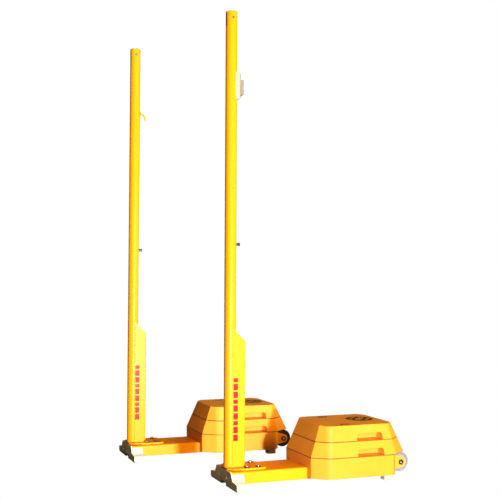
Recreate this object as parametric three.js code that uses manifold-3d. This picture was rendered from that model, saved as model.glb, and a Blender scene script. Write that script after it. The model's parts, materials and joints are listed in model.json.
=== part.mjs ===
// A pair of free-standing volleyball posts: a winch post and a hook post.
// Each set is a round post on a low beam, with a metal foot at the front, and
// a wheeled counterweight base with two lift-off weights at the back.
// Millimetres, +Z up, +X from a foot towards its counterweight, floor at Z = 0.
import * as THREE from "three";
import { mergeVertices } from "three/addons/utils/BufferGeometryUtils.js";
import Module from "manifold-3d";

const wasm = await Module();
wasm.setup();

// ---- driving dimensions -------------------------------------------------
const GAP = 0.3;                     // between neighbours that touch
const POST_TOP = 2550;               // the rule height of a volleyball post
const POST_R = 31.75;                // 63.5 mm tube
const POST_WALL = 3;
const POST_SIDES = 24;

const BEAM_WIDTH = 244;
const BEAM_Z = [22, 85];
const BEAM_SHEET = 6;
const BEAM_END = 816;

const FOOT_X = [-34, 36];
const FOOT_HALF = 215;               // half the foot's width
const FOOT_CENTRE = 121;             // half its raised centre
const FOOT_WALL = 3;
const FOOT_PLATE = 8;                // thick front plate
const FOOT_BOLT_Y = 55;
const FOOT_BOLT_Z = 46;
const FOOT_NOTCH = 10;               // height of the notch between the lobes
const LOBE_Z = [27, 38];             // a lobe's end and its top edge
const PAD_HEIGHT = 8;
const PAD_Y = [36, 213];

const PLATE_X = [-33, 182];          // base plate under the post
const PLATE_WIDTH = 180;
const PLATE_THICK = 6;               // over the foot, thicker behind it
const PLATE_CORNER = [28, 15];       // front and rear chamfers
const BOLT_X = [78, 142];
const BOLT_Y = 62;
const BOLT_R = 6;

const CHANNEL_BACK = 78;             // rear face of the stiffening channel
const CHANNEL_TOP = 761;             // where its rear face ends
const CHANNEL_SHEET = 4;

const SHEAVE_Z = 2512;
const SHEAVE_R = 27;
const SHEAVE_WIDTH = 16;
const SHEAVE_PIN_R = 5;
const SLOT_Z = 2506;
const SLOT_WIDTH = 20;
const SLOT_HALF = 36;                // half the slot's height
const STUD_Z = 1284;
const HOOK_Z = 2143;

const BASE_Z = [32, 142];            // counterweight base
const WEIGHT_SEAM = 224;             // between the lower and upper weight
const WEIGHT_TOP = 307;
const CASTING_WALL = 14;
// Plan outlines: front face, front chamfer, long side, rear chamfer, rear face.
const BASE_PLAN = { front: 402, a: 168, shoulder: 486, b: 233, side: 872, rear: 898, c: 200 };
const LOW_PLAN = { front: 402, a: 168, shoulder: 486, b: 233, side: 884, rear: 982, c: 145 };
const TOP_PLAN = { front: 466, a: 137, shoulder: 495, b: 194, side: 855, rear: 893, c: 155 };
const GRIP_X = [651, 813];           // hand recesses in both weights
const GRIP_HEIGHT = 38;
const GRIP_DEPTH = 66;
const GRIP_WALL = 9;
const TONGUE_X = 618;                // locating tongues through the weights
const TONGUE_Y = 144;
const TONGUE_LENGTH = 40;
const TONGUE_THICK = 8;
const TONGUE_TOP = 301;

const WHEEL_X = 947;
const WHEEL_Y = 150;
const WHEEL_Z = 87;
const WHEEL_R = 54;
const WHEEL_WIDTH = 32;
const WHEEL_PIN_R = 6;
const EAR_THICK = 8;
const EAR_R = 26;
const REAR_FOOT = { x: [829, 883], y: [155, 205] };
const REAR_BOSS = 28;                // height of the boss over a rear foot

const WINCH_Z = 2137;
const WINCH_HALF = 28;               // half-width of the winch bracket
const BRACKET_Z = [2070, 2217];
const BRACKET_BACK = 40;
const HOUSING_Z = [2097, 2177];
const HOUSING_BACK = 64;
const DRUM_X = 47.5;
const WORM_DROP = 17;                // the worm's axis below the drum's
const WORM_WHEEL_Y = -13;
const GEAR_TEETH = 20;

const FAR_SHIFT = [-315, 927];       // the far set from the near one
const NEAR_PLACE = [
  -(FOOT_X[0] + FAR_SHIFT[0] + WHEEL_X + WHEEL_R) / 2,
  -FAR_SHIFT[1] / 2,
];

// ---- finishes -----------------------------------------------------------
const FINISHES = {
  yellow: { color: 0xf2b705, roughness: 0.35, metalness: 0.0 },
  zinc: { color: 0xb9bab4, roughness: 0.35, metalness: 0.9 },
  chrome: { color: 0xd8d8d8, roughness: 0.15, metalness: 1.0 },
  rubber: { color: 0x1c1c1c, roughness: 0.8, metalness: 0.0 },
  steel: { color: 0x8c8c88, roughness: 0.4, metalness: 0.9 },
  nylon: { color: 0xb9c0c6, roughness: 0.5, metalness: 0.0 },
  black: { color: 0x20221c, roughness: 0.6, metalness: 0.0 },
  white: { color: 0xeeeeea, roughness: 0.4, metalness: 0.0 },
  dark: { color: 0x3a3a36, roughness: 0.5, metalness: 0.6 },
};

// ---- solids -------------------------------------------------------------
function solid(geometry) {
  const bare = geometry.clone();
  bare.deleteAttribute("normal");
  bare.deleteAttribute("uv");
  const merged = mergeVertices(bare, 1e-4);
  return new wasm.Manifold(new wasm.Mesh({
    numProp: 3,
    vertProperties: new Float32Array(merged.attributes.position.array),
    triVerts: new Uint32Array(merged.index.array),
  }));
}

function geometryOf(manifold) {
  const mesh = manifold.getMesh();
  const geometry = new THREE.BufferGeometry();
  geometry.setAttribute("position", new THREE.Float32BufferAttribute(mesh.vertProperties, 3));
  geometry.setIndex(new THREE.Uint32BufferAttribute(mesh.triVerts, 1));
  geometry.computeVertexNormals();
  return geometry;
}

function cut(body, ...tools) {
  return tools.reduce((left, tool) => left.subtract(tool), body);
}

function join(body, ...others) {
  return others.reduce((sum, other) => sum.add(other), body);
}

function box(x, y, z) {
  const geometry = new THREE.BoxGeometry(x[1] - x[0], y[1] - y[0], z[1] - z[0]);
  geometry.translate((x[0] + x[1]) / 2, (y[0] + y[1]) / 2, (z[0] + z[1]) / 2);
  return solid(geometry);
}

// A round bar along an axis, from one coordinate to another, through a point.
function bar(axis, radius, from, to, centre, sides = 16) {
  const geometry = new THREE.CylinderGeometry(radius, radius, to - from, sides);
  geometry.rotateY(Math.PI / sides);
  geometry.translate(0, (from + to) / 2, 0);
  if (axis === "x") {
    geometry.rotateZ(-Math.PI / 2);
  }
  if (axis === "z") {
    geometry.rotateX(Math.PI / 2);
  }
  geometry.translate(...centre);
  return solid(geometry);
}

// A hole's tool: its flats, not its corners, keep the radius clear.
function drill(axis, radius, from, to, centre, sides = 8) {
  return bar(axis, radius / Math.cos(Math.PI / sides), from, to, centre, sides);
}

// A turned piece: profile is [radius, along] pairs from axis to axis.
function turned(axis, profile, centre, sides = 16) {
  const points = profile.map(([radius, along]) => new THREE.Vector2(radius, along));
  const geometry = new THREE.LatheGeometry(points, sides);
  if (axis === "x") {
    geometry.rotateZ(-Math.PI / 2);
  }
  if (axis === "z") {
    geometry.rotateX(Math.PI / 2);
  }
  geometry.translate(...centre);
  return solid(geometry);
}

// An outline in the Y-Z plane, extruded along X.
function extrudeX(shape, from, to, curveSegments = 5) {
  const depth = to - from;
  const geometry = new THREE.ExtrudeGeometry(shape, { depth, bevelEnabled: false, curveSegments });
  geometry.rotateX(Math.PI / 2);
  geometry.rotateZ(Math.PI / 2);
  geometry.translate(from, 0, 0);
  return solid(geometry);
}

// An outline in the X-Z plane, extruded along Y.
function extrudeY(shape, from, to, curveSegments = 5) {
  const depth = to - from;
  const geometry = new THREE.ExtrudeGeometry(shape, { depth, bevelEnabled: false, curveSegments });
  geometry.rotateX(Math.PI / 2);
  geometry.translate(0, to, 0);
  return solid(geometry);
}

function outline(points) {
  return new THREE.Shape(points.map(([x, y]) => new THREE.Vector2(x, y)));
}

function mirrorY(points) {
  const other = points.map(([x, y]) => [x, -y]).reverse();
  return [...points, ...other];
}

// A range of Y on the left (1) or the right (-1).
function sided(side, range) {
  return range.map((value) => side * value).sort((a, b) => a - b);
}

// ---- post ---------------------------------------------------------------
const PLATE_TOP = BEAM_Z[1] + GAP + FOOT_WALL + GAP + PLATE_THICK;
const POST_FOOT = PLATE_TOP + GAP;
const CAP_EDGE = 4;
const POST_END = POST_TOP - CAP_EDGE - GAP;

function postTube() {
  const skin = bar("z", POST_R, POST_FOOT, POST_END, [0, 0, 0], POST_SIDES);
  const bore = bar("z", POST_R - POST_WALL, 0, POST_TOP, [0, 0, 0], POST_SIDES);
  const slot = new THREE.Shape();
  const straight = SLOT_HALF - SLOT_WIDTH / 2;
  slot.absarc(0, SLOT_Z + straight, SLOT_WIDTH / 2, 0, Math.PI, false);
  slot.absarc(0, SLOT_Z - straight, SLOT_WIDTH / 2, Math.PI, 2 * Math.PI, false);
  const ropeSlot = extrudeX(slot, -POST_R - 5, POST_R + 5, 3);
  const pinHole = drill("y", SHEAVE_PIN_R + GAP, -POST_R - 5, POST_R + 5, [0, 0, SHEAVE_Z]);
  const studHole = drill("x", 4 + GAP, 0, POST_R + 5, [0, 0, STUD_Z]);
  return cut(skin, bore, ropeSlot, pinHole, studHole);
}

function topCap() {
  const spigot = POST_R - POST_WALL - GAP - 0.3;
  return turned("z", [
    [0, POST_END - 2.5], [spigot, POST_END - 2.5], [spigot, POST_END + GAP], [POST_R, POST_END + GAP],
    [POST_R, POST_TOP - 1.5], [POST_R - 2, POST_TOP], [0, POST_TOP],
  ], [0, 0, 0], POST_SIDES);
}

function backChannel() {
  const slope = CHANNEL_BACK;        // a 45 degree top
  const side = (back, lid, floor) => outline([
    [0, floor], [back, floor], [back, CHANNEL_TOP - lid], [0, CHANNEL_TOP + slope - lid],
  ]);
  const shell = extrudeY(side(CHANNEL_BACK, 0, POST_FOOT), -POST_R, POST_R);
  const width = POST_R - CHANNEL_SHEET;
  const lidDrop = CHANNEL_SHEET * 2.4;
  const hollow = extrudeY(side(CHANNEL_BACK - CHANNEL_SHEET, lidDrop, 0), -width, width);
  const post = bar("z", POST_R + GAP, 0, POST_TOP, [0, 0, 0], POST_SIDES);
  return cut(shell, hollow, post);
}

function basePlate() {
  const half = PLATE_WIDTH / 2;
  const [front, rear] = PLATE_CORNER;
  const plan = outline(mirrorY([
    [PLATE_X[0], half - front], [PLATE_X[0] + front, half],
    [PLATE_X[1] - rear, half], [PLATE_X[1], half - rear],
  ]));
  const bottom = BEAM_Z[1] + GAP;
  const depth = PLATE_TOP - bottom;
  const geometry = new THREE.ExtrudeGeometry(plan, { depth, bevelEnabled: false });
  geometry.translate(0, 0, bottom);
  const overFoot = box([PLATE_X[0] - 5, FOOT_X[1] + GAP], [-half - 5, half + 5],
    [bottom - 5, bottom + FOOT_WALL + GAP]);
  return cut(solid(geometry), overFoot, ...baseBoltPlaces().map(([x, y]) =>
    drill("z", BOLT_R + GAP, bottom - 5, PLATE_TOP + 5, [x, y, 0])));
}

function baseBoltPlaces() {
  return BOLT_X.flatMap((x) => [[x, -BOLT_Y], [x, BOLT_Y]]);
}

// A dome-headed bolt through the plate and the beam, with its nut below.
function baseBolt(x, y) {
  const nutTop = BEAM_Z[1] - BEAM_SHEET - GAP;
  const seat = PLATE_TOP + GAP;
  return turned("z", [
    [0, nutTop - 10], [10, nutTop - 10], [10, nutTop], [BOLT_R, nutTop], [BOLT_R, seat],
    [12, seat], [10, seat + 3], [9, seat + 7], [6, seat + 10], [0, seat + 11.5],
  ], [x, y, 0], 8);
}

// ---- beam and front foot --------------------------------------------------
function beam() {
  const half = BEAM_WIDTH / 2;
  const [z0, z1] = BEAM_Z;
  const front = FOOT_X[0] + FOOT_PLATE + GAP;
  const skin = box([front, BEAM_END], [-half, half], [z0, z1]);
  const hollow = box([front + FOOT_PLATE, BEAM_END + 5],
    [-half + BEAM_SHEET, half - BEAM_SHEET], [z0 - 5, z1 - BEAM_SHEET]);
  const holes = baseBoltPlaces().map(([x, y]) =>
    drill("z", BOLT_R + GAP, z1 - BEAM_SHEET - 5, z1 + 5, [x, y, 0]));
  const frontHoles = [-1, 1].map((s) =>
    drill("x", BOLT_R + GAP, front - 5, front + FOOT_PLATE + 5, [0, s * FOOT_BOLT_Y, FOOT_BOLT_Z]));
  return cut(skin, hollow, ...holes, ...frontHoles);
}

// Front outline: raised centre over the beam, sloping to a low lobe each side.
function footOutline() {
  const low = PAD_HEIGHT + GAP;
  const top = BEAM_Z[1] + GAP + FOOT_WALL;
  const notch = PAD_Y[0] + 4;
  const knee = FOOT_CENTRE + 14;
  const side = new THREE.Path();
  side.moveTo(notch, low + FOOT_NOTCH);
  side.lineTo(notch, low);
  side.lineTo(FOOT_HALF, low);
  side.lineTo(FOOT_HALF, LOBE_Z[0]);
  side.quadraticCurveTo(FOOT_HALF, LOBE_Z[1] - 2, FOOT_HALF - 14, LOBE_Z[1]);
  side.lineTo(knee + 30, LOBE_Z[1] + 4);
  side.quadraticCurveTo(knee + 4, LOBE_Z[1] + 7, knee, LOBE_Z[1] + 16);
  side.lineTo(FOOT_CENTRE, top - 12);
  side.quadraticCurveTo(FOOT_CENTRE - 6, top, FOOT_CENTRE - 20, top);
  const half = side.getPoints(4).map((p) => [p.x, p.y]);
  const other = half.map(([y, z]) => [-y, z]).reverse();
  return outline([...half, ...other]);
}

function frontFoot() {
  const body = extrudeX(footOutline(), FOOT_X[0], FOOT_X[1], 4);
  const half = BEAM_WIDTH / 2 + GAP;
  const inner = FOOT_X[0] + FOOT_PLATE;
  const beamRoom = box([inner, FOOT_X[1] + 5], [-half, half], [BEAM_Z[0] - GAP, BEAM_Z[1] + GAP]);
  const lobeRoom = [-1, 1].map((s) => box([inner, FOOT_X[1] + 5],
    sided(s, [FOOT_CENTRE + 8, FOOT_HALF - 10]), [16, 32]));
  const holes = [-1, 1].map((s) =>
    drill("x", BOLT_R + GAP, FOOT_X[0] - 5, inner + 5, [0, s * FOOT_BOLT_Y, FOOT_BOLT_Z]));
  return cut(body, beamRoom, ...lobeRoom, ...holes);
}

function footBolt(side) {
  const seat = FOOT_X[0] - GAP;
  const nut = FOOT_X[0] + 2 * FOOT_PLATE + 2 * GAP;
  return turned("x", [
    [0, seat - 8], [7, seat - 7], [11, seat - 3], [11, seat], [BOLT_R, seat], [BOLT_R, nut],
    [10, nut], [10, nut + 10], [0, nut + 10],
  ], [0, side * FOOT_BOLT_Y, FOOT_BOLT_Z], 8);
}

function footPad(side) {
  return box([FOOT_X[0] + 2, FOOT_X[1] - 2], sided(side, PAD_Y), [0, PAD_HEIGHT]);
}

// ---- counterweight --------------------------------------------------------
// The eight-sided plan, set in by a wall thickness, with soft long-side corners.
function planRing(plan, inset = 0) {
  const p = {
    front: plan.front + inset, a: plan.a - inset * 0.55, shoulder: plan.shoulder + inset * 0.35,
    b: plan.b - inset, side: plan.side - inset * 0.4, rear: plan.rear - inset, c: plan.c - inset * 0.5,
  };
  const corners = mirrorY([[p.rear, p.c], [p.side, p.b], [p.shoulder, p.b], [p.front, p.a]]);
  const softness = [8, 30, 40, 4, 4, 40, 30, 8];
  const ring = [];
  corners.forEach(([x, y], i) => {
    const here = new THREE.Vector2(x, y);
    const [before, after] = [corners.at(i - 1), corners[(i + 1) % 8]].map((other) => {
      const way = new THREE.Vector2(...other).sub(here);
      return way.setLength(Math.min(softness[i], 0.45 * way.length())).add(here);
    });
    const curve = new THREE.QuadraticBezierCurve(before, here, after);
    const steps = softness[i] > 10 ? 2 : 1;
    ring.push(...curve.getPoints(steps));
  });
  return ring;
}

// A closed solid between two anticlockwise rings of the same number of points.
function loft(low, high, z0, z1) {
  const count = low.length;
  const positions = [];
  low.forEach((p) => positions.push(p.x, p.y, z0));
  high.forEach((p) => positions.push(p.x, p.y, z1));
  const faces = THREE.ShapeUtils.triangulateShape(low, []);
  const index = [];
  faces.forEach(([a, b, c]) => {
    index.push(a, c, b, count + a, count + b, count + c);
  });
  for (let i = 0; i < count; i += 1) {
    const j = (i + 1) % count;
    index.push(i, j, count + j, i, count + j, count + i);
  }
  const geometry = new THREE.BufferGeometry();
  geometry.setAttribute("position", new THREE.Float32BufferAttribute(positions, 3));
  geometry.setIndex(index);
  return solid(geometry);
}

function mixPlan(t) {
  const mixed = {};
  Object.keys(LOW_PLAN).forEach((key) => {
    mixed[key] = LOW_PLAN[key] + (TOP_PLAN[key] - LOW_PLAN[key]) * t;
  });
  return mixed;
}

function tongueSlots(z0, z1) {
  const half = TONGUE_LENGTH / 2 + 0.6;
  const thick = TONGUE_THICK / 2 + 0.6;
  return [-1, 1].map((s) => box([TONGUE_X - half, TONGUE_X + half],
    [s * TONGUE_Y - thick, s * TONGUE_Y + thick], [z0, z1]));
}

// The room for a hand: an arch in section, running along the long side.
function gripArch(side, reach, height, x) {
  const edge = LOW_PLAN.b + 20;
  const inner = LOW_PLAN.b - reach;
  const crown = height.top - height.base;
  const shape = new THREE.Shape();
  shape.moveTo(side * edge, height.base);
  shape.lineTo(side * edge, height.top);
  shape.lineTo(side * (inner + crown * 0.5), height.top);
  shape.quadraticCurveTo(side * inner, height.top, side * inner, height.top - crown * 0.5);
  shape.lineTo(side * inner, height.base);
  return extrudeX(shape, x[0], x[1], 3);
}

// A hollow casting, open below, with a hand recess low in each long side.
function weight(z0, z1, taper) {
  const low = mixPlan(taper[0]);
  const high = mixPlan(taper[1]);
  const body = loft(planRing(low), planRing(high), z0, z1);
  const roof = z1 - CASTING_WALL;
  let hollow = loft(planRing(low, CASTING_WALL), planRing(high, CASTING_WALL), z0 - 1, roof);
  const inset = LOW_PLAN.b - (low.b + high.b) / 2;
  const grips = [];
  for (const side of [-1, 1]) {
    const pocket = { base: z0 - 1, top: z0 + GRIP_HEIGHT };
    const lining = { base: z0 - 2, top: z0 + GRIP_HEIGHT + GRIP_WALL };
    const ends = [GRIP_X[0] - GRIP_WALL, GRIP_X[1] + GRIP_WALL];
    hollow = hollow.subtract(gripArch(side, GRIP_DEPTH + inset + GRIP_WALL, lining, ends));
    grips.push(gripArch(side, GRIP_DEPTH + inset, pocket, GRIP_X));
  }
  return cut(body, hollow, ...grips, ...tongueSlots(z0 - 5, z1 + 5));
}

function earPlate(y) {
  const shape = new THREE.Shape();
  const root = BASE_PLAN.rear - 40;
  shape.moveTo(root, BASE_Z[1] - 12);
  shape.lineTo(root, WHEEL_Z - 40);
  shape.lineTo(BASE_PLAN.rear, WHEEL_Z - 36);
  shape.absarc(WHEEL_X, WHEEL_Z, EAR_R, -Math.PI * 0.45, Math.PI * 0.45, false);
  shape.lineTo(BASE_PLAN.rear, BASE_Z[1] - 12);
  return extrudeY(shape, y - EAR_THICK / 2, y + EAR_THICK / 2, 5);
}

function baseBox() {
  const ring = planRing(BASE_PLAN);
  const inner = planRing(BASE_PLAN, CASTING_WALL);
  const body = loft(ring, ring, BASE_Z[0], BASE_Z[1]);
  const hollow = loft(inner, inner, BASE_Z[0] - 5, BASE_Z[1] - CASTING_WALL);
  const beamHalf = BEAM_WIDTH / 2 + GAP;
  const beamDoor = box([BASE_PLAN.front - 5, BASE_PLAN.front + 60], [-beamHalf, beamHalf],
    [BASE_Z[0] - 5, BEAM_Z[1] + GAP]);
  const earY = WHEEL_WIDTH / 2 + 3 + EAR_THICK / 2;
  const front = WHEEL_X - WHEEL_R - 8;
  let result = body.subtract(hollow);
  for (const side of [-1, 1]) {
    const y = side * WHEEL_Y;
    const lining = box([front - CASTING_WALL, BASE_PLAN.rear - 2],
      [y - earY - EAR_THICK / 2, y + earY + EAR_THICK / 2], [BASE_Z[0], BASE_Z[1] - 2]);
    const room = box([front, BASE_PLAN.rear + 50], [y - earY + EAR_THICK / 2, y + earY - EAR_THICK / 2],
      [BASE_Z[0] - 5, BASE_Z[1] + 5]);
    const boss = rearBoss(side).intersect(body);
    result = join(result, boss, lining.intersect(body)).subtract(room);
    for (const offset of [-earY, earY]) {
      result = result.add(earPlate(y + offset));
    }
    result = result.subtract(drill("y", WHEEL_PIN_R + GAP, y - earY - 10, y + earY + 10,
      [WHEEL_X, 0, WHEEL_Z], 10));
  }
  return cut(result, beamDoor, ...tongueSlots(BASE_Z[0], BASE_Z[1] + 5));
}

// Solid iron over a rear foot, out to the wall of the base.
function rearBoss(side) {
  const x = [REAR_FOOT.x[0] - 4, REAR_FOOT.x[1] + 4];
  return box(x, sided(side, [REAR_FOOT.y[0] - 4, BASE_PLAN.b]), [BASE_Z[0], BASE_Z[0] + REAR_BOSS]);
}

function rearFoot(side) {
  return box(REAR_FOOT.x, sided(side, REAR_FOOT.y), [0, BASE_Z[0] - GAP]);
}

// A flat bar bent to a U: its ends are the tongues that hold the weights in place.
function locatingBar() {
  const out = TONGUE_Y + TONGUE_THICK / 2;
  const inn = TONGUE_Y - TONGUE_THICK / 2;
  const top = BASE_Z[1] - CASTING_WALL - GAP;
  const low = top - TONGUE_THICK;
  return extrudeX(outline([
    [-out, TONGUE_TOP], [-out, low], [out, low], [out, TONGUE_TOP],
    [inn, TONGUE_TOP], [inn, top], [-inn, top], [-inn, TONGUE_TOP],
  ]), TONGUE_X - TONGUE_LENGTH / 2, TONGUE_X + TONGUE_LENGTH / 2);
}

function wheel(side) {
  const half = WHEEL_WIDTH / 2;
  const bore = WHEEL_PIN_R + 0.25;
  return turned("y", [
    [bore, -half - 1], [18, -half - 1], [20, -half + 3], [WHEEL_R - 4, -half], [WHEEL_R, -half + 5],
    [WHEEL_R, half - 5], [WHEEL_R - 4, half], [20, half - 3], [18, half + 1], [bore, half + 1],
    [bore, -half - 1],
  ], [WHEEL_X, side * WHEEL_Y, WHEEL_Z], 16);
}

// The wheel's bolt: dome head outside, nut inside.
function wheelAxle(side) {
  const end = WHEEL_WIDTH / 2 + 3 + EAR_THICK + GAP;
  const axle = turned("y", [
    [0, -end - 8], [10, -end - 8], [10, -end], [WHEEL_PIN_R, -end], [WHEEL_PIN_R, end],
    [11.5, end], [11.5, end + 2], [9, end + 6], [5, end + 8.5], [0, end + 9.5],
  ], [0, 0, 0], 10);
  return axle.rotate([0, 0, side < 0 ? 180 : 0]).translate([WHEEL_X, side * WHEEL_Y, WHEEL_Z]);
}

// ---- rope gear ------------------------------------------------------------
function sheave() {
  const half = SHEAVE_WIDTH / 2;
  const bore = SHEAVE_PIN_R + 0.25;
  return turned("y", [
    [bore, -half], [SHEAVE_R, -half], [SHEAVE_R, -half + 2.5], [SHEAVE_R - 7, 0],
    [SHEAVE_R, half - 2.5], [SHEAVE_R, half], [bore, half], [bore, -half],
  ], [0, 0, SHEAVE_Z], 16);
}

function sheaveAxle() {
  const head = POST_R + GAP;
  return turned("y", [
    [0, -head - 3], [5.5, -head - 3], [7.5, -head - 1.5], [7.5, -head], [SHEAVE_PIN_R, -head],
    [SHEAVE_PIN_R, head], [7.5, head], [7.5, head + 1.5], [5.5, head + 3], [0, head + 3],
  ], [0, 0, SHEAVE_Z], 8);
}

// The button on the back of the post that the net's side cord is tied to.
function netStud() {
  const skin = POST_R + GAP + 0.1;
  return turned("x", [
    [0, 17], [7.5, 17], [7.5, 25], [4, 25], [4, skin], [9, skin], [9, skin + 4], [6.5, skin + 6],
    [6.5, skin + 13], [9, skin + 15], [9, skin + 20], [0, skin + 20],
  ], [0, 0, STUD_Z], 8);
}

// A round rod bent outwards and down, welded to a disc on the post.
function ropeHook() {
  const skin = POST_R + GAP + 0.1;
  const path = new THREE.CatmullRomCurve3([
    new THREE.Vector3(skin + 2, 0, HOOK_Z), new THREE.Vector3(skin + 14, 0, HOOK_Z - 1),
    new THREE.Vector3(skin + 27, 0, HOOK_Z - 9), new THREE.Vector3(skin + 33, 0, HOOK_Z - 24),
    new THREE.Vector3(skin + 33, 0, HOOK_Z - 40),
  ]);
  const section = new THREE.Shape();
  section.absarc(0, 0, 4.5, 0, 2 * Math.PI, false);
  const rod = new THREE.ExtrudeGeometry(section, {
    steps: 8, extrudePath: path, bevelEnabled: false, curveSegments: 4,
  });
  const disc = bar("x", 11, skin, skin + 5, [0, 0, HOOK_Z], 12);
  return join(solid(rod), disc);
}

// ---- winch ----------------------------------------------------------------
// A white saddle on the back of the post, open in the middle for the drum.
function winchBracket() {
  const body = box([8, BRACKET_BACK], [-WINCH_HALF, WINCH_HALF], BRACKET_Z);
  const post = bar("z", POST_R + GAP, 0, POST_TOP, [0, 0, 0], POST_SIDES);
  const well = box([0, BRACKET_BACK + 5], [-21, 21], [HOUSING_Z[0] + 4, HOUSING_Z[1] - 4]);
  const ropeWay = box([0, BRACKET_BACK + 5], [-8, 8], [HOUSING_Z[1] - 10, BRACKET_Z[1] + 5]);
  return cut(body, post, well, ropeWay);
}

// Grey flange and box over the drum, with a hole for the crank.
function winchHousing() {
  const front = BRACKET_BACK + GAP;
  const flange = box([front, front + 5], [-26, 26], [BRACKET_Z[0] + 5, BRACKET_Z[1] - 5]);
  const cover = box([front, HOUSING_BACK], [-24, 24], HOUSING_Z);
  const inside = box([front - 5, HOUSING_BACK - 3], [-21, 21], [HOUSING_Z[0] + 4, HOUSING_Z[1] - 4]);
  const crankHole = drill("x", 6, HOUSING_BACK - 10, HOUSING_BACK + 5,
    [0, WORM_WHEEL_Y, WINCH_Z - WORM_DROP]);
  const ropeWay = box([front - 5, front + 3], [-8, 8], [HOUSING_Z[1] - 10, BRACKET_Z[1] + 5]);
  const boss = [-1, 1].map((s) => box([DRUM_X - 5, DRUM_X + 5],
    sided(s, [17, 21.5]), [WINCH_Z - 6, WINCH_Z + 6]));
  const shaftHole = drill("y", 4 + GAP, -20.5, 20.5, [DRUM_X, 0, WINCH_Z], 10);
  return cut(join(cut(join(flange, cover), inside), ...boss), crankHole, ropeWay, shaftHole);
}

function winchDrum() {
  return turned("y", [
    [0, -20], [4, -20], [4, -9], [12.5, -9], [12.5, -7], [7, -7], [7, 7],
    [12.5, 7], [12.5, 9], [4, 9], [4, 20], [0, 20],
  ], [DRUM_X, 0, WINCH_Z], 10);
}

// The drum's gear: slanted teeth are left straight at this size.
function wormWheel() {
  const shape = new THREE.Shape();
  const tip = 12.2;
  const root = 10.4;
  const step = (2 * Math.PI) / GEAR_TEETH;
  for (let i = 0; i < GEAR_TEETH; i += 1) {
    const turn = i * step;
    const radii = [root, tip, tip, root];
    const at = [-0.3, -0.13, 0.13, 0.3];
    radii.forEach((radius, k) => {
      const angle = turn + at[k] * step;
      const point = [radius * Math.cos(angle), radius * Math.sin(angle)];
      if (i === 0 && k === 0) {
        shape.moveTo(...point);
      } else {
        shape.lineTo(...point);
      }
    });
  }
  const geometry = new THREE.ExtrudeGeometry(shape, { depth: 5, bevelEnabled: false });
  geometry.rotateX(Math.PI / 2);
  geometry.translate(0, WORM_WHEEL_Y + 2.5, 0);
  const bore = drill("y", 4 + GAP, WORM_WHEEL_Y - 5, WORM_WHEEL_Y + 5, [0, 0, 0], 10);
  const gear = cut(solid(geometry), bore);
  return gear.translate([DRUM_X, 0, WINCH_Z]);
}

// The worm lies across the gear's lowest teeth; its rear end takes the crank.
function wormShaft() {
  const z = WINCH_Z - WORM_DROP;
  const shaft = turned("x", [
    [0, -11.5], [2.4, -11.5], [2.4, -7.5], [4.2, -6.5], [4.2, 7.5], [2.4, 8.5], [2.4, 10.5],
    [5.5, 10.5], [5.5, 19.5], [0, 19.5],
  ], [DRUM_X, WORM_WHEEL_Y, z], 8);
  const socket = new THREE.CylinderGeometry(3.5, 3.5, 12, 6);
  socket.rotateZ(-Math.PI / 2);
  socket.translate(DRUM_X + 19.5, WORM_WHEEL_Y, z);
  return cut(shaft, solid(socket));
}

// ---- the two sets -----------------------------------------------------------
const group = new THREE.Group();

function place(parent, name, shape, finish) {
  const mesh = new THREE.Mesh(geometryOf(shape), new THREE.MeshStandardMaterial(FINISHES[finish]));
  mesh.name = name;
  parent.add(mesh);
}

function makeSet(name, position, wheelFinish) {
  const set = new THREE.Group();
  set.position.set(...position, 0);
  const add = (node, shape, finish) => place(set, `${name}_${node}`, shape, finish);
  add("post_tube", postTube(), "yellow");
  add("top_cap", topCap(), "yellow");
  add("back_channel", backChannel(), "yellow");
  add("base_plate", basePlate(), "yellow");
  baseBoltPlaces().forEach(([x, y], i) => add(`base_bolt_${i + 1}`, baseBolt(x, y), "chrome"));
  add("beam", beam(), "yellow");
  add("front_foot", frontFoot(), "zinc");
  add("base_box", baseBox(), "yellow");
  add("weight_lower", weight(BASE_Z[1] + GAP, WEIGHT_SEAM, [0, 0.5]), "yellow");
  add("weight_upper", weight(WEIGHT_SEAM + GAP, WEIGHT_TOP, [0.5, 1]), "yellow");
  add("locating_bar", locatingBar(), "steel");
  add("sheave", sheave(), "nylon");
  add("sheave_axle", sheaveAxle(), "chrome");
  add("net_stud", netStud(), "dark");
  for (const [hand, side] of [["right", -1], ["left", 1]]) {
    add(`foot_bolt_${hand}`, footBolt(side), "chrome");
    add(`foot_pad_${hand}`, footPad(side), "rubber");
    add(`rear_foot_${hand}`, rearFoot(side), "rubber");
    add(`wheel_${hand}`, wheel(side), wheelFinish);
    add(`wheel_axle_${hand}`, wheelAxle(side), "chrome");
  }
  group.add(set);
  return add;
}

const addNear = makeSet("near", NEAR_PLACE, "nylon");
addNear("winch_bracket", winchBracket(), "white");
addNear("winch_housing", winchHousing(), "steel");
addNear("winch_drum", winchDrum(), "steel");
addNear("worm_wheel", wormWheel(), "steel");
addNear("worm_shaft", wormShaft(), "dark");

const farPlace = [NEAR_PLACE[0] + FAR_SHIFT[0], NEAR_PLACE[1] + FAR_SHIFT[1]];
const addFar = makeSet("far", farPlace, "black");
addFar("rope_hook", ropeHook(), "yellow");

export default group;
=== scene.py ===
"""Looks for a pair of free-standing volleyball posts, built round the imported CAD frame.

Sizes are in millimetres from a set's own origin, which is its post's axis on
the floor, with +X towards the counterweight. `piece` puts them in the frame.
"""

import json
import math

import bmesh
import bpy
from mathutils import Matrix, Vector

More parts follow.
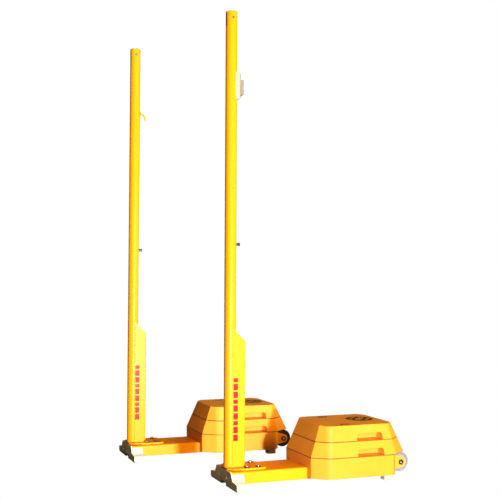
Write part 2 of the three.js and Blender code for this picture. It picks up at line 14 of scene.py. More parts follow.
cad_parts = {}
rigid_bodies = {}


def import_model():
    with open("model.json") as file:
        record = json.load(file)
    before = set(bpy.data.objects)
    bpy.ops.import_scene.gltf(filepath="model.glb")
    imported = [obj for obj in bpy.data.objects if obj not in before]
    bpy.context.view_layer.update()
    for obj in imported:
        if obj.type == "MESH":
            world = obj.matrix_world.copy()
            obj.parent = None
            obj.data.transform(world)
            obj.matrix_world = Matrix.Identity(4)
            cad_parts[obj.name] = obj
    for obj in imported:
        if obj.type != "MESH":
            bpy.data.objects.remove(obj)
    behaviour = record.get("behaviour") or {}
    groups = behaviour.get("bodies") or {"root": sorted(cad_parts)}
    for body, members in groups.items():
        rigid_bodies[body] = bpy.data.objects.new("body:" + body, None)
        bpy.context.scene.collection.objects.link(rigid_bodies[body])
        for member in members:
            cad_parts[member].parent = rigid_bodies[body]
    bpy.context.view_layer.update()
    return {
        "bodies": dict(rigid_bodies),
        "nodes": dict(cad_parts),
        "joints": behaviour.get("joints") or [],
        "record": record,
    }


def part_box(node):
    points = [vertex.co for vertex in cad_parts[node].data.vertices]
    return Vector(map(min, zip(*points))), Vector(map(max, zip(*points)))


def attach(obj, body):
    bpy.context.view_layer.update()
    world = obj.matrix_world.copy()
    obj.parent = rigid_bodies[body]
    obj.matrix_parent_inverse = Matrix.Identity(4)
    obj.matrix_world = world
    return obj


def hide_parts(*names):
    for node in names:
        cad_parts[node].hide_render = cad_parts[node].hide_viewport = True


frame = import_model()
MM = 0.001
GAP = 0.3  # between neighbours that touch
HANDS = ((-1, "right"), (1, "left"))

# ---- sizes ------------------------------------------------------------------
POST_R = 31.75
POST_WALL = 3
POST_FOOT = 94.9
POST_END = 2545.7
POST_TOP = 2550
SHEAVE_Z = 2512
SHEAVE_R = 27
PIN_R = 5
BOLT_HOLE_R = 6.3
SLOT_Z = 2506
SLOT_WIDTH = 20
SLOT_HALF = 36
STUD_Z = 1284
HOOK_Z = 2143
CHANNEL_BACK = 78
CHANNEL_TOP = 761
CHANNEL_SHEET = 4
PLATE_X = (-33, 182)
PLATE_HALF = 90
PLATE_CORNER = (28, 15)
PLATE_Z = (85.3, 94.6)
PLATE_STEP_Z = 88.6
BOLT_PLACES = [(78, -62), (78, 62), (142, -62), (142, 62)]
BEAM_X = (-25.7, 816)
BEAM_HALF = 122
BEAM_Z = (22, 85)
BEAM_SHEET = 6
FOOT_X = (-34, 36)
FOOT_TOP = 88.3
FOOT_HALF = 215
FOOT_CENTRE = 121
FOOT_BOLT = (55, 46)
PAD_Y = (36, 213)
PAD_TOP = 8
BASE_Z = (32, 142)
SEAM_Z = 224
WEIGHT_TOP = 307
WALL = 14
BASE_PLAN = dict(front=402, a=168, shoulder=486, b=233, side=872, rear=898, c=200)
LOW_PLAN = dict(front=402, a=168, shoulder=486, b=233, side=884, rear=982, c=145)
TOP_PLAN = dict(front=466, a=137, shoulder=495, b=194, side=855, rear=893, c=155)
GRIP_X = (651, 813)
GRIP_HEIGHT = 40
GRIP_DEPTH = 66
TONGUE_X = 618
TONGUE_Y = 144
TONGUE_TOP = 301
TONGUE_HALF = (20, 4)
ROUNDEL = (787, 12)
MARK_Z = (WEIGHT_TOP + 0.05, WEIGHT_TOP + 0.4)
WHEEL = (947, 150, 87)
WHEEL_R = 54
WHEEL_HALF = 16
EAR_Y = 23
EAR_R = 26
EAR_HALF = 4
REAR_FOOT_X = (829, 883)
REAR_FOOT_Y = (155, 205)
WINCH_Z = 2137
BRACKET_Z = (2070, 2217)
BRACKET_BACK = 40
SADDLE_HALF = 28
HOUSING_Z = (2097, 2177)
HOUSING_BACK = 64
DRUM_X = 47.5
WORM_DROP = 17
WORM_Y = -13


# ---- node materials -----------------------------------------------------------
class Look:
    """A material and short ways to add nodes to it."""

    def __init__(self, name, colour, roughness, metallic=0.0, coat=0.0):
        self.material = bpy.data.materials.new(name)
        self.material.use_nodes = True
        self.tree = self.material.node_tree
        self.shader = self.tree.nodes["Principled BSDF"]
        self.shader.inputs["Base Color"].default_value = (*colour, 1)
        self.shader.inputs["Roughness"].default_value = roughness
        self.shader.inputs["Metallic"].default_value = metallic
        self.shader.inputs["Coat Weight"].default_value = coat
        self.shader.inputs["Coat Roughness"].default_value = 0.12
        self.place = self.tree.nodes.new("ShaderNodeTexCoord").outputs["Object"]

    def link(self, a, b):
        self.tree.links.new(a, b)

    def stretched(self, scale):
        node = self.tree.nodes.new("ShaderNodeMapping")
        node.inputs["Scale"].default_value = scale
        self.link(self.place, node.inputs["Vector"])
        return node.outputs["Vector"]

    def noise(self, scale, detail=3, stretch=None, roughness=0.5):
        node = self.tree.nodes.new("ShaderNodeTexNoise")
        node.inputs["Scale"].default_value = scale
        node.inputs["Detail"].default_value = detail
        node.inputs["Roughness"].default_value = roughness
        self.link(self.stretched(stretch) if stretch else self.place, node.inputs["Vector"])
        return node.outputs["Fac"]

    def ramp(self, value, *stops):
        node = self.tree.nodes.new("ShaderNodeValToRGB")
        elements = node.color_ramp.elements
        while len(elements) < len(stops):
            elements.new(0.5)
        for element, (at, colour) in zip(elements, stops):
            element.position = at
            if isinstance(colour, (int, float)):
                colour = (colour, colour, colour)
            element.color = (*colour, 1)
        self.link(value, node.inputs["Fac"])
        return node.outputs["Color"]

    def mix(self, amount, a, b):
        node = self.tree.nodes.new("ShaderNodeMix")
        node.data_type = "RGBA"
        self.set(node.inputs["Factor"], amount)
        self.set(node.inputs["A"], a)
        self.set(node.inputs["B"], b)
        return node.outputs["Result"]

    def set(self, socket, value):
        if isinstance(value, bpy.types.NodeSocket):
            self.link(value, socket)
        elif isinstance(value, tuple):
            socket.default_value = (*value, 1)
        else:
            socket.default_value = value

    def maths(self, kind, a, b):
        node = self.tree.nodes.new("ShaderNodeMath")
        node.operation = kind
        self.set(node.inputs[0], a)
        self.set(node.inputs[1], b)
        return node.outputs[0]

    def edge(self, radius):
        """1 on edges and corners, 0 on open faces."""
        soft = self.tree.nodes.new("ShaderNodeBevel")
        soft.samples = 4
        soft.inputs["Radius"].default_value = radius
        plain = self.tree.nodes.new("ShaderNodeNewGeometry")
        dot = self.tree.nodes.new("ShaderNodeVectorMath")
        dot.operation = "DOT_PRODUCT"
        self.link(soft.outputs["Normal"], dot.inputs[0])
        self.link(plain.outputs["Normal"], dot.inputs[1])
        return self.ramp(dot.outputs["Value"], (0.86, 1.0), (0.97, 0.0))

    def level(self, height, reach):
        """1 at a height above the floor, 0 beyond its reach, both in millimetres."""
        parts = self.tree.nodes.new("ShaderNodeSeparateXYZ")
        self.link(self.place, parts.inputs[0])
        away = self.maths("ABSOLUTE", self.maths("SUBTRACT", parts.outputs["Z"], height * MM), 0.0)
        return self.ramp(self.maths("DIVIDE", away, reach * MM), (0.45, 1.0), (1.0, 0.0))

    def facing(self, axis, low, high):
        """Grows from 0 to 1 as the surface turns to face along an axis."""
        normal = self.tree.nodes.new("ShaderNodeNewGeometry").outputs["Normal"]
        dot = self.tree.nodes.new("ShaderNodeVectorMath")
        dot.operation = "DOT_PRODUCT"
        dot.inputs[1].default_value = axis
        self.link(normal, dot.inputs[0])
        return self.ramp(dot.outputs["Value"], (low, 0.0), (high, 1.0))

    def upright(self):
        """1 on walls, 0 on tops."""
        return self.maths("SUBTRACT", 1.0, self.facing((0, 0, 1), 0.8, 0.95))

    def bump(self, *heights):
        """heights are (height, strength, distance), laid one over another."""
        last = None
        for height, strength, distance in heights:
            node = self.tree.nodes.new("ShaderNodeBump")
            node.inputs["Strength"].default_value = strength
            node.inputs["Distance"].default_value = distance
            self.link(height, node.inputs["Height"])
            if last:
                self.link(last, node.inputs["Normal"])
            last = node.outputs["Normal"]
        self.link(last, self.shader.inputs["Normal"])

    def colour(self, value):
        self.link(value, self.shader.inputs["Base Color"])

    def rough(self, value):
        self.link(value, self.shader.inputs["Roughness"])


YELLOW = (0.94, 0.4, 0.008)
YELLOW_DEEP = (0.89, 0.345, 0.004)
YELLOW_PALE = (0.96, 0.5, 0.05)
CAST_YELLOW = (0.93, 0.385, 0.042)
CAST_DEEP = (0.87, 0.335, 0.026)
# Dark brown for dirt specks and streaks, and for the painted shadow lines where the castings meet.
GRIME_AND_SEAM_SHADE = (0.12, 0.05, 0.015)
# Darker brown for the tops of the castings: dust and painted top shade in one.
DUST_AND_TOP_SHADE = (0.5, 0.27, 0.09)


def powder_paint():
    """Glossy yellow powder paint on steel: orange peel, faint runs and handling marks."""
    look = Look("powder_paint", YELLOW, 0.34)
    look.shader.inputs["Specular IOR Level"].default_value = 0.19
    tone = look.ramp(look.noise(2.2, 4, (1, 1, 0.25)), (0.35, 0.0), (0.7, 1.0))
    colour = look.mix(tone, YELLOW, YELLOW_DEEP)
    specks = look.ramp(look.noise(210, 2), (0.74, 0.0), (0.8, 1.0))
    marks = look.ramp(look.noise(26, 5, (1, 1, 0.15), 0.7), (0.66, 0.0), (0.76, 0.5))
    dirt = look.maths("MULTIPLY", look.maths("MAXIMUM", specks, marks), 0.35)
    colour = look.mix(dirt, colour, GRIME_AND_SEAM_SHADE)
    # painted highlight: edges and corners are mixed evenly towards a paler yellow
    colour = look.mix(look.maths("MULTIPLY", look.edge(0.0012), 0.35), colour, YELLOW_PALE)
    # painted shade: faces that look up are mixed towards a darker orange, as if less light reached them
    painted_top_shade = look.maths("MULTIPLY", look.facing((0, 0, 1), 0.8, 0.95), 0.7)
    look.colour(look.mix(painted_top_shade, colour, (0.78, 0.2, 0.003)))
    look.rough(look.ramp(look.noise(14, 4), (0.3, 0.3), (0.75, 0.42)))
    look.bump((look.noise(330, 2), 0.12, 0.0006), (look.noise(60, 2), 0.05, 0.001))
    return look.material


def cast_paint():
    """Thick yellow paint over rough cast iron, rubbed pale on its edges, with a painted shadow line along its
    joints.
    """
    look = Look("cast_paint", CAST_YELLOW, 0.5)
    look.shader.inputs["Specular IOR Level"].default_value = 0.26
    tone = look.ramp(look.noise(3.1, 5, None, 0.6), (0.32, 0.0), (0.7, 1.0))
    colour = look.mix(tone, CAST_YELLOW, CAST_DEEP)
    pores = look.ramp(look.noise(150, 3, None, 0.7), (0.69, 0.0), (0.77, 1.0))
    streak = look.ramp(look.noise(17, 6, (1, 1, 0.3), 0.7), (0.6, 0.0), (0.78, 0.7))
    dirt = look.maths("MULTIPLY", look.maths("MAXIMUM", pores, streak), 0.3)
    colour = look.mix(dirt, colour, GRIME_AND_SEAM_SHADE)
    edge = look.edge(0.004)
    rubbed = look.maths("MULTIPLY", edge, look.ramp(look.noise(34, 5), (0.3, 0.25), (0.62, 1.0)))
    colour = look.mix(look.maths("MULTIPLY", rubbed, 0.5), colour, YELLOW_PALE)
    # painted shade: a dark band on the walls at the heights where the castings meet, for the shadow gap
    # between them
    joints = look.maths("MAXIMUM", look.level(BASE_Z[1] + 0.2, 3.4), look.level(SEAM_Z + 0.2, 3.4))
    seam_shade_patches = look.ramp(look.noise(9, 4), (0.3, 0.7), (0.6, 1.0))
    joints = look.maths("MULTIPLY", joints, look.upright())
    # dust and painted shade: faces that look up are mixed in patches towards a darker brown
    dust = look.ramp(look.noise(6, 5, None, 0.65), (0.3, 0.15), (0.7, 0.5))
    colour = look.mix(look.maths("MULTIPLY", look.facing((0, 0, 1), 0.8, 0.95), dust), colour, DUST_AND_TOP_SHADE)
    look.colour(look.mix(look.maths("MULTIPLY", joints, seam_shade_patches), colour, GRIME_AND_SEAM_SHADE))
    look.rough(look.ramp(look.noise(22, 5), (0.3, 0.44), (0.75, 0.62)))
    look.bump((look.noise(48, 4), 0.22, 0.003), (look.noise(190, 3), 0.2, 0.001))
    return look.material


def cast_metal():
    """Zinc-coated casting: grey and sandy with a few stains, painted shade in patches on its front faces,
    painted light on its tops and a painted highlight on its edges.
    """
    look = Look("cast_metal", (0.5, 0.52, 0.5), 0.42, metallic=0.2)
    tone = look.noise(18, 6, None, 0.65)
    colour = look.ramp(tone, (0.3, (0.5, 0.51, 0.49)), (0.55, (0.64, 0.66, 0.65)), (0.8, (0.76, 0.79, 0.8)))
    front_shade_patches = look.ramp(look.noise(24, 5, None, 0.6), (0.25, 0.6), (0.7, 0.95))
    # painted shade: faces that look along -X are mixed in patches towards a dark olive
    front = look.maths("MULTIPLY", look.facing((-1, 0, 0), 0.55, 0.8), front_shade_patches)
    colour = look.mix(front, colour, (0.5, 0.44, 0.26))
    # painted light: faces that look up are mixed towards near white
    colour = look.mix(look.facing((0, 0, 1), 0.3, 0.9), colour, (0.92, 0.94, 0.96))
    stain = look.ramp(look.noise(60, 5, None, 0.7), (0.6, 0.0), (0.75, 0.55))
    colour = look.mix(stain, colour, (0.26, 0.22, 0.14))
    # painted highlight: edges and corners are mixed evenly towards a pale grey
    colour = look.mix(look.maths("MULTIPLY", look.edge(0.002), 0.6), colour, (0.86, 0.85, 0.82))
    look.colour(colour)
    look.rough(look.ramp(look.noise(90, 4), (0.3, 0.34), (0.7, 0.58)))
    look.bump((look.noise(260, 3), 0.3, 0.0008), (look.noise(70, 3), 0.2, 0.0015))
    return look.material


def brushed(name, colour, roughness, stretch, dark=0.75):
    """Turned or rolled metal with fine drawn lines and a few stains."""
    look = Look(name, colour, roughness, metallic=1.0)
    lines = look.noise(120, 3, stretch)
    shade = tuple(c * dark for c in colour)
    tone = look.mix(look.ramp(lines, (0.3, 0.0), (0.7, 1.0)), shade, colour)
    stain = look.ramp(look.noise(85, 4, None, 0.7), (0.6, 0.0), (0.8, 0.5))
    look.colour(look.mix(stain, tone, tuple(c * 0.35 for c in colour)))
    look.rough(look.ramp(look.noise(200, 3), (0.3, roughness * 0.8), (0.7, roughness * 1.35)))
    look.bump((lines, 0.15, 0.0003), (look.noise(300, 2), 0.08, 0.0003))
    return look.material


def rubber(name, colour, dusty):
    """Moulded rubber: matt, finely grained, dusty in patches."""
    look = Look(name, colour, 0.75)
    dust = look.ramp(look.noise(42, 5, None, 0.7), (0.45, 0.0), (0.75, 0.6))
    look.colour(look.mix(dust, colour, dusty))
    look.rough(look.ramp(look.noise(110, 3), (0.3, 0.6), (0.7, 0.85)))
    look.bump((look.noise(420, 3), 0.3, 0.0005), (look.noise(50, 3), 0.15, 0.001))
    return look.material


def plastic(name, colour, stain, roughness=0.42):
    """Moulded plastic with rolling marks and light staining."""
    look = Look(name, colour, roughness)
    marks = look.ramp(look.noise(55, 5, None, 0.7), (0.5, 0.0), (0.8, 0.8))
    tone = look.mix(marks, colour, stain)
    scratches = look.ramp(look.noise(240, 3, (1, 6, 1)), (0.62, 0.0), (0.72, 0.35))
    look.colour(look.mix(scratches, tone, tuple(c * 0.6 for c in stain)))
    look.rough(look.ramp(look.noise(80, 4), (0.3, roughness * 0.8), (0.7, roughness * 1.4)))
    look.bump((look.noise(300, 3), 0.2, 0.0004), (look.noise(30, 3), 0.12, 0.0015))
    return look.material


def flat_ink(name, colour, roughness=0.4):
    """Screen-printed ink, thin and slightly uneven."""
    look = Look(name, colour, roughness)
    look.shader.inputs["Specular IOR Level"].default_value = 0.2
    thin = look.ramp(look.noise(120, 4, None, 0.7), (0.4, 0.0), (0.75, 0.5))
    look.colour(look.mix(thin, colour, tuple(min(1, c * 1.3 + 0.006) for c in colour)))
    look.rough(look.ramp(look.noise(60, 3), (0.3, 0.3), (0.7, 0.5)))
    look.bump((look.noise(350, 2), 0.1, 0.0003),)
    return look.material


PAINT = powder_paint()
CAST = cast_paint()
METAL = cast_metal()
STEEL = brushed("rolled_steel", (0.45, 0.45, 0.43), 0.4, (1, 1, 0.05))
DARK_STEEL = brushed("blued_steel", (0.1, 0.09, 0.11), 0.38, (1, 1, 0.2))
CHROME = brushed("plated_steel", (0.9, 0.9, 0.92), 0.3, (1, 1, 0.3), 0.9)
DULL_PIN = plastic("dull_pin", (0.2, 0.16, 0.13), (0.12, 0.1, 0.08), 0.6)
GREY_PAINT = plastic("grey_housing_paint", (0.24, 0.24, 0.235), (0.17, 0.165, 0.15))
# Near-black steel for the locating bar: painted shade that makes its slot read dark.
SHADE_DARK_STEEL = brushed("shade_dark_bar", (0.05, 0.04, 0.03), 0.5, (1, 1, 0.2))
WHITE_PAINT = plastic("white_bracket_paint", (0.4, 0.41, 0.43), (0.3, 0.3, 0.31), 0.35)
PAD_RUBBER = rubber("pad_rubber", (0.5, 0.52, 0.45), (0.62, 0.63, 0.56))
FOOT_RUBBER = rubber("grey_rubber", (0.58, 0.6, 0.48), (0.66, 0.67, 0.56))
NYLON = plastic("nylon", (0.3, 0.09, 0.05), (0.12, 0.05, 0.04))
PALE_WHEEL = plastic("pale_wheel", (0.25, 0.29, 0.36), (0.22, 0.255, 0.32), 0.62)
BLACK_WHEEL = plastic("black_wheel", (0.035, 0.034, 0.02), (0.11, 0.1, 0.05), 0.3)
RED_INK = flat_ink("red_ink", (0.4, 0.002, 0.006))
DARK_INK = flat_ink("dark_ink", (0.035, 0.022, 0.008))
# Near-black matt stuff for rings round the bolt domes and frames round the weight slots: painted dark
# reflection and painted shade.
SHADE_BLACK = rubber("shade_black", (0.03, 0.022, 0.012), (0.08, 0.06, 0.03))


# ---- outlines -------------------------------------------------------------------
def fillet(points, radii, steps=6, ends_open=False):
    """The outline with its corners rounded; radii is one number or one per corner."""
    out, count = [], len(points)
    for i, point in enumerate(points):
        radius = radii[i] if isinstance(radii, (list, tuple)) else radii
        here = Vector(point)
        back = Vector(points[i - 1]) - here
        on = Vector(points[(i + 1) % count]) - here
        if radius <= 0 or (ends_open and i in (0, count - 1)):
            out.append(tuple(here))
            continue
        angle = back.angle(on)
        if angle > math.radians(178):
            out.append(tuple(here))
            continue
        along = min(radius / math.tan(angle / 2), 0.49 * back.length, 0.49 * on.length)
        radius = along * math.tan(angle / 2)
        centre = here + (back.normalized() + on.normalized()).normalized() * radius / math.sin(angle / 2)
        start = here + back.normalized() * along - centre
        end = here + on.normalized() * along - centre
        sweep = start.angle(end)
        for k in range(steps + 1):
            t = k / steps
            mixed = math.sin((1 - t) * sweep) * start + math.sin(t * sweep) * end
            out.append(tuple(centre + mixed / math.sin(sweep)))
    return out


def circle(radius, count, centre=(0, 0)):
    turn = 2 * math.pi / count
    return [(centre[0] + radius * math.cos(i * turn), centre[1] + radius * math.sin(i * turn))
            for i in range(count)]


def plan(sizes, inset=0.0):
    """The counterweight's eight-sided plan, its long-side corners soft."""
    p = dict(
        front=sizes["front"] + inset, a=sizes["a"] - inset * 0.55,
        shoulder=sizes["shoulder"] + inset * 0.35, b=sizes["b"] - inset,
        side=sizes["side"] - inset * 0.4, rear=sizes["rear"] - inset, c=sizes["c"] - inset * 0.5,
    )
    half = [(p["rear"], p["c"]), (p["side"], p["b"]), (p["shoulder"], p["b"]), (p["front"], p["a"])]
    corners = half + [(x, -y) for x, y in reversed(half)]
    return fillet(corners, [14, 24, 62, 5, 5, 62, 24, 14], 8)


def mixed_plan(t):
    return {key: LOW_PLAN[key] + (TOP_PLAN[key] - LOW_PLAN[key]) * t for key in LOW_PLAN}


# ---- meshes -----------------------------------------------------------------------
def loft(rings, capped=True, looped=False):
    """Skins equal rings of points; a ring of one point closes to a tip."""
    bm = bmesh.new()
    verts = [[bm.verts.new(point) for point in ring] for ring in rings]
    pairs = list(zip(verts, verts[1:]))
    if looped:
        pairs.append((verts[-1], verts[0]))
    for low, high in pairs:
        count = max(len(low), len(high))
        for i in range(count):
            j = (i + 1) % count
            if len(low) == 1 and len(high) > 1:
                bm.faces.new((low[0], high[j], high[i]))
            elif len(high) == 1 and len(low) > 1:
                bm.faces.new((low[i], low[j], high[0]))
            elif len(low) > 1:
                bm.faces.new((low[i], low[j], high[j], high[i]))
    if capped and not looped:
        for end in (verts[0], verts[-1]):
            if len(end) > 2:
                bm.faces.new(end)
    bmesh.ops.recalc_face_normals(bm, faces=bm.faces)
    return bm


def prism(outline, plane, low, high):
    """An outline in the plane xy, yz or xz, pulled out from low to high."""
    where = {
        "xy": lambda p, h: (p[0], p[1], h),
        "yz": lambda p, h: (h, p[0], p[1]),
        "xz": lambda p, h: (p[0], h, p[1]),
    }[plane]
    return loft([[where(p, h) for p in outline] for h in (low, high)])


def turned(profile, axis, centre=(0, 0, 0), sides=48, looped=False):
    """A turned piece; profile is (radius, along) pairs."""
    place = {
        "x": lambda u, v, w: (w, u, v),
        "y": lambda u, v, w: (u, w, v),
        "z": lambda u, v, w: (u, v, w),
    }[axis]
    rings = []
    for radius, along in profile:
        count = sides if radius > 1e-6 else 1
        ring = [place(radius * math.cos(2 * math.pi * i / count), radius * math.sin(2 * math.pi * i / count),
                      along) for i in range(count)]
        rings.append([tuple(c + d for c, d in zip(point, centre)) for point in ring])
    return loft(rings, looped=looped)


def block(x, y, z):
    return prism([(x[0], y[0]), (x[1], y[0]), (x[1], y[1]), (x[0], y[1])], "xy", z[0], z[1])


def tube_along(points, radius, sides=16, wobble=0.0):
    """A round rod along a line of points, with closed ends."""
    rings = []
    for i, point in enumerate(points):
        here = Vector(point)
        ahead = Vector(points[min(i + 1, len(points) - 1)]) - Vector(points[max(i - 1, 0)])
        ahead.normalize()
        side = ahead.cross(Vector((0, 1, 0)))
        if side.length < 0.1:
            side = ahead.cross(Vector((1, 0, 0)))
        side.normalize()
        other = ahead.cross(side)
        r = radius * (1 + wobble * math.sin(i * 2.1) * math.cos(i * 0.37))
        rings.append([tuple(here + side * r * math.cos(2 * math.pi * k / sides)
                            + other * r * math.sin(2 * math.pi * k / sides)) for k in range(sides)])
    return loft(rings)


def merged(*meshes):
    """One mesh of several bodies that lie side by side."""
    total = bmesh.new()
    for bm in meshes:
        data = bpy.data.meshes.new("part")
        bm.to_mesh(data)
        total.from_mesh(data)
        bpy.data.meshes.remove(data)
        bm.free()
    return total


def sided(side, values):
    return sorted(side * value for value in values)


def scratch_object(bm):
    data = bpy.data.meshes.new("scratch")
    bm.to_mesh(data)
    bm.free()
    obj = bpy.data.objects.new("scratch", data)
    bpy.context.scene.collection.objects.link(obj)
    return obj


def carve(bm, tools, kind="DIFFERENCE"):
    """bm with each tool cut away, or joined on."""
    body = scratch_object(bm)
    for tool in tools:
        other = scratch_object(tool)
        step = body.modifiers.new("carve", "BOOLEAN")
        step.operation = kind
        step.solver = "EXACT"
        step.object = other
        bpy.context.view_layer.update()
        shape = bpy.data.meshes.new_from_object(body.evaluated_get(bpy.context.evaluated_depsgraph_get()))
        body.modifiers.clear()
        old, body.data = body.data, shape
        bpy.data.meshes.remove(old)
        bpy.data.objects.remove(other)
    result = bmesh.new()
    result.from_mesh(body.data)
    bpy.data.objects.remove(body)
    bmesh.ops.dissolve_degenerate(result, edges=result.edges, dist=1e-4)
    return result


# ---- pieces -------------------------------------------------------------------------
class PostSet:
    """Puts pieces into one set's place, on its bodies."""

    def __init__(self, name):
        self.name = name
        low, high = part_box(f"{name}_post_tube")
        self.origin = Vector(((low.x + high.x) / 2, (low.y + high.y) / 2, 0))

    def piece(self, label, bm, look, body, slot, stands_for=(), sharp=32, bevel=0.0, steps=2):
        bmesh.ops.scale(bm, vec=(MM, MM, MM), verts=bm.verts)
        bmesh.ops.translate(bm, vec=self.origin, verts=bm.verts)
        data = bpy.data.meshes.new(f"{self.name}_{label}")
        bm.to_mesh(data)
        bm.free()
        data.polygons.foreach_set("use_smooth", [True] * len(data.polygons))
        data.set_sharp_from_angle(angle=math.radians(sharp))
        data.materials.append(look)
        obj = bpy.data.objects.new(f"{self.name}_{label}", data)
        bpy.context.scene.collection.objects.link(obj)
        if bevel:
            soften = obj.modifiers.new("soften", "BEVEL")
            soften.width = bevel * MM
            soften.segments = steps
            soften.limit_method = "ANGLE"
            soften.angle_limit = math.radians(sharp)
            soften.harden_normals = True
        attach(obj, f"{self.name}_{body}")
        if stands_for:
            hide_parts(*[f"{self.name}_{node}" for node in stands_for])
        return obj


def build_post(s):
    height = [POST_FOOT + (POST_END - POST_FOOT) * k / 12 for k in range(13)]
    skin = loft([[(x, y, z) for x, y in circle(POST_R, 96)] for z in height])
    bore = prism(circle(POST_R - POST_WALL, 64), "xy", 0, POST_TOP + 20)
    half = SLOT_WIDTH / 2
    slot = fillet([(-half, SLOT_Z - SLOT_HALF), (half, SLOT_Z - SLOT_HALF),
                   (half, SLOT_Z + SLOT_HALF), (-half, SLOT_Z + SLOT_HALF)], half * 0.98, 10)
    tube = carve(skin, [bore, prism(slot, "yz", -40, 40),
                        prism(circle(PIN_R + 0.4, 24, (0, SHEAVE_Z)), "xz", -40, 40)])
    s.piece("tube", tube, PAINT, "set", "yellow_paint", ["post_tube"], bevel=0.7)
    spigot = POST_R - POST_WALL - 0.6
    cap = [(0, POST_END - 2.5), (spigot, POST_END - 2.5), (spigot, POST_END + GAP), (POST_R, POST_END + GAP)]
    cap += fillet([(POST_R, POST_END + 0.6), (POST_R, POST_TOP), (12, POST_TOP)], 2.6, 6, True)
    s.piece("cap", turned(cap + [(0, POST_TOP)], "z", sides=96), PAINT, "set", "yellow_paint", ["top_cap"])
    s.piece("sheave_wheel", turned(
        fillet([(PIN_R + GAP, -8), (SHEAVE_R, -8), (SHEAVE_R, -5.5), (SHEAVE_R - 7, 0), (SHEAVE_R, 5.5),
                (SHEAVE_R, 8), (PIN_R + GAP, 8)], [0.5, 1.2, 1, 4, 1, 1.2, 0.5], 4),
        "y", (0, 0, SHEAVE_Z), 64, looped=True), NYLON, "sheave", "nylon", ["sheave"])
    head = POST_R + GAP
    pin = [(0, -head - 2.9), (1.2, -head - 2.6), (2.6, -head - 3), (5.4, -head - 2.8), (7.1, -head - 1.6),
           (7.5, -head)]
    pin += [(PIN_R - 0.1, -head), (PIN_R - 0.1, head)]
    pin += [(r, -a) for r, a in reversed(pin[:6])]
    s.piece("sheave_pin", turned(pin, "y", (0, 0, SHEAVE_Z), 40), DULL_PIN, "set", "chrome",
            ["sheave_axle"])
    skin_x = POST_R + 0.4
    stud = [(0, 17), (7.5, 17), (7.5, 25), (4, 25), (4, skin_x), (9, skin_x), (9, skin_x + 4),
            (6.5, skin_x + 6), (6.5, skin_x + 13), (9, skin_x + 15), (9, skin_x + 20), (0, skin_x + 20)]
    stud = fillet(stud, [0, 0.5, 0.5, 0, 0, 0.8, 1.5, 1, 1, 1.5, 1.8, 0], 4)
    s.piece("stud", turned(stud, "x", (0, 0, STUD_Z), 40), DARK_STEEL, "set", "dark_steel", ["net_stud"])


def build_channel(s):
    """A folded sheet channel up the back of the post, with a lid and weld beads."""
    out = POST_R
    inn = POST_R - CHANNEL_SHEET
    outer = fillet([(2, -out), (CHANNEL_BACK, -out), (CHANNEL_BACK, out), (2, out)], [0, 8, 8, 0], 8)
    inner = fillet([(2, inn), (CHANNEL_BACK - CHANNEL_SHEET, inn), (CHANNEL_BACK - CHANNEL_SHEET, -inn),
                    (2, -inn)], [0, 4.5, 4.5, 0], 8)
    walls = prism(outer + inner, "xy", POST_FOOT, CHANNEL_TOP + CHANNEL_BACK)
    slope = [(-60, CHANNEL_TOP + CHANNEL_BACK + 60), (CHANNEL_BACK + 60, CHANNEL_TOP - 60),
             (CHANNEL_BACK + 60, CHANNEL_TOP + 400), (-60, CHANNEL_TOP + 400)]
    post = prism(circle(POST_R + 0.2, 96), "xy", 0, 1200)
    walls = carve(walls, [prism(slope, "xz", -60, 60), post])
    s.piece("channel", walls, PAINT, "set", "yellow_paint", ["back_channel"], bevel=0.8)
    lid = [(10, CHANNEL_TOP + CHANNEL_BACK - 10 - 0.4), (CHANNEL_BACK - 3, CHANNEL_TOP + 3 - 0.4),
           (CHANNEL_BACK - 3, CHANNEL_TOP - 4), (10, CHANNEL_TOP + CHANNEL_BACK - 17)]
    lid = carve(prism(lid, "xz", -out + 1.2, out - 1.2), [prism(circle(POST_R + 0.2, 96), "xy", 0, 1200)])
    s.piece("channel_lid", lid, PAINT, "set", "yellow_paint", bevel=0.8)
    for side, label in HANDS:
        line = [(7.5 + 0.7 * math.sin(k * 0.9), side * (POST_R - 0.6), POST_FOOT + 1 + k * 3.0)
                for k in range(int((CHANNEL_TOP + 58 - POST_FOOT) / 3))]
        s.piece(f"channel_weld_{label}", tube_along(line, 2.8, 12, 0.22), PAINT, "set", "yellow_paint",
                sharp=80)
    seat = fillet([(-out - 0.5, 0), (0, -out - 0.5), (CHANNEL_BACK + 0.5, -out - 0.5),
                   (CHANNEL_BACK + 0.5, out + 0.5), (0, out + 0.5)], [28, 12, 8, 8, 12], 8)
    line = [(x, y, POST_FOOT + 0.8) for x, y in seat]
    bead = tube_along([*line, line[0]], 2.6, 10, 0.2)
    s.piece("foot_weld", bead, PAINT, "set", "yellow_paint", sharp=80)


def bolt_profile(seat, nut, hex_r):
    """A domed cap head over a flange; the shank runs down to its nut."""
    dome = [(8.2 * math.cos(a), seat + 5.0 + 6.5 * math.sin(a)) for a in
            [math.pi / 2 * k / 8 for k in range(9)]]
    dome[-1] = (0, seat + 11.5)
    return [(0, nut - 10), (hex_r, nut - 10), (hex_r, nut), (6, nut), (6, seat), (11.2, seat),
            (11.9, seat + 0.6), (11.9, seat + 1.6), (11.3, seat + 2.2), (8.4, seat + 2.4), *dome]


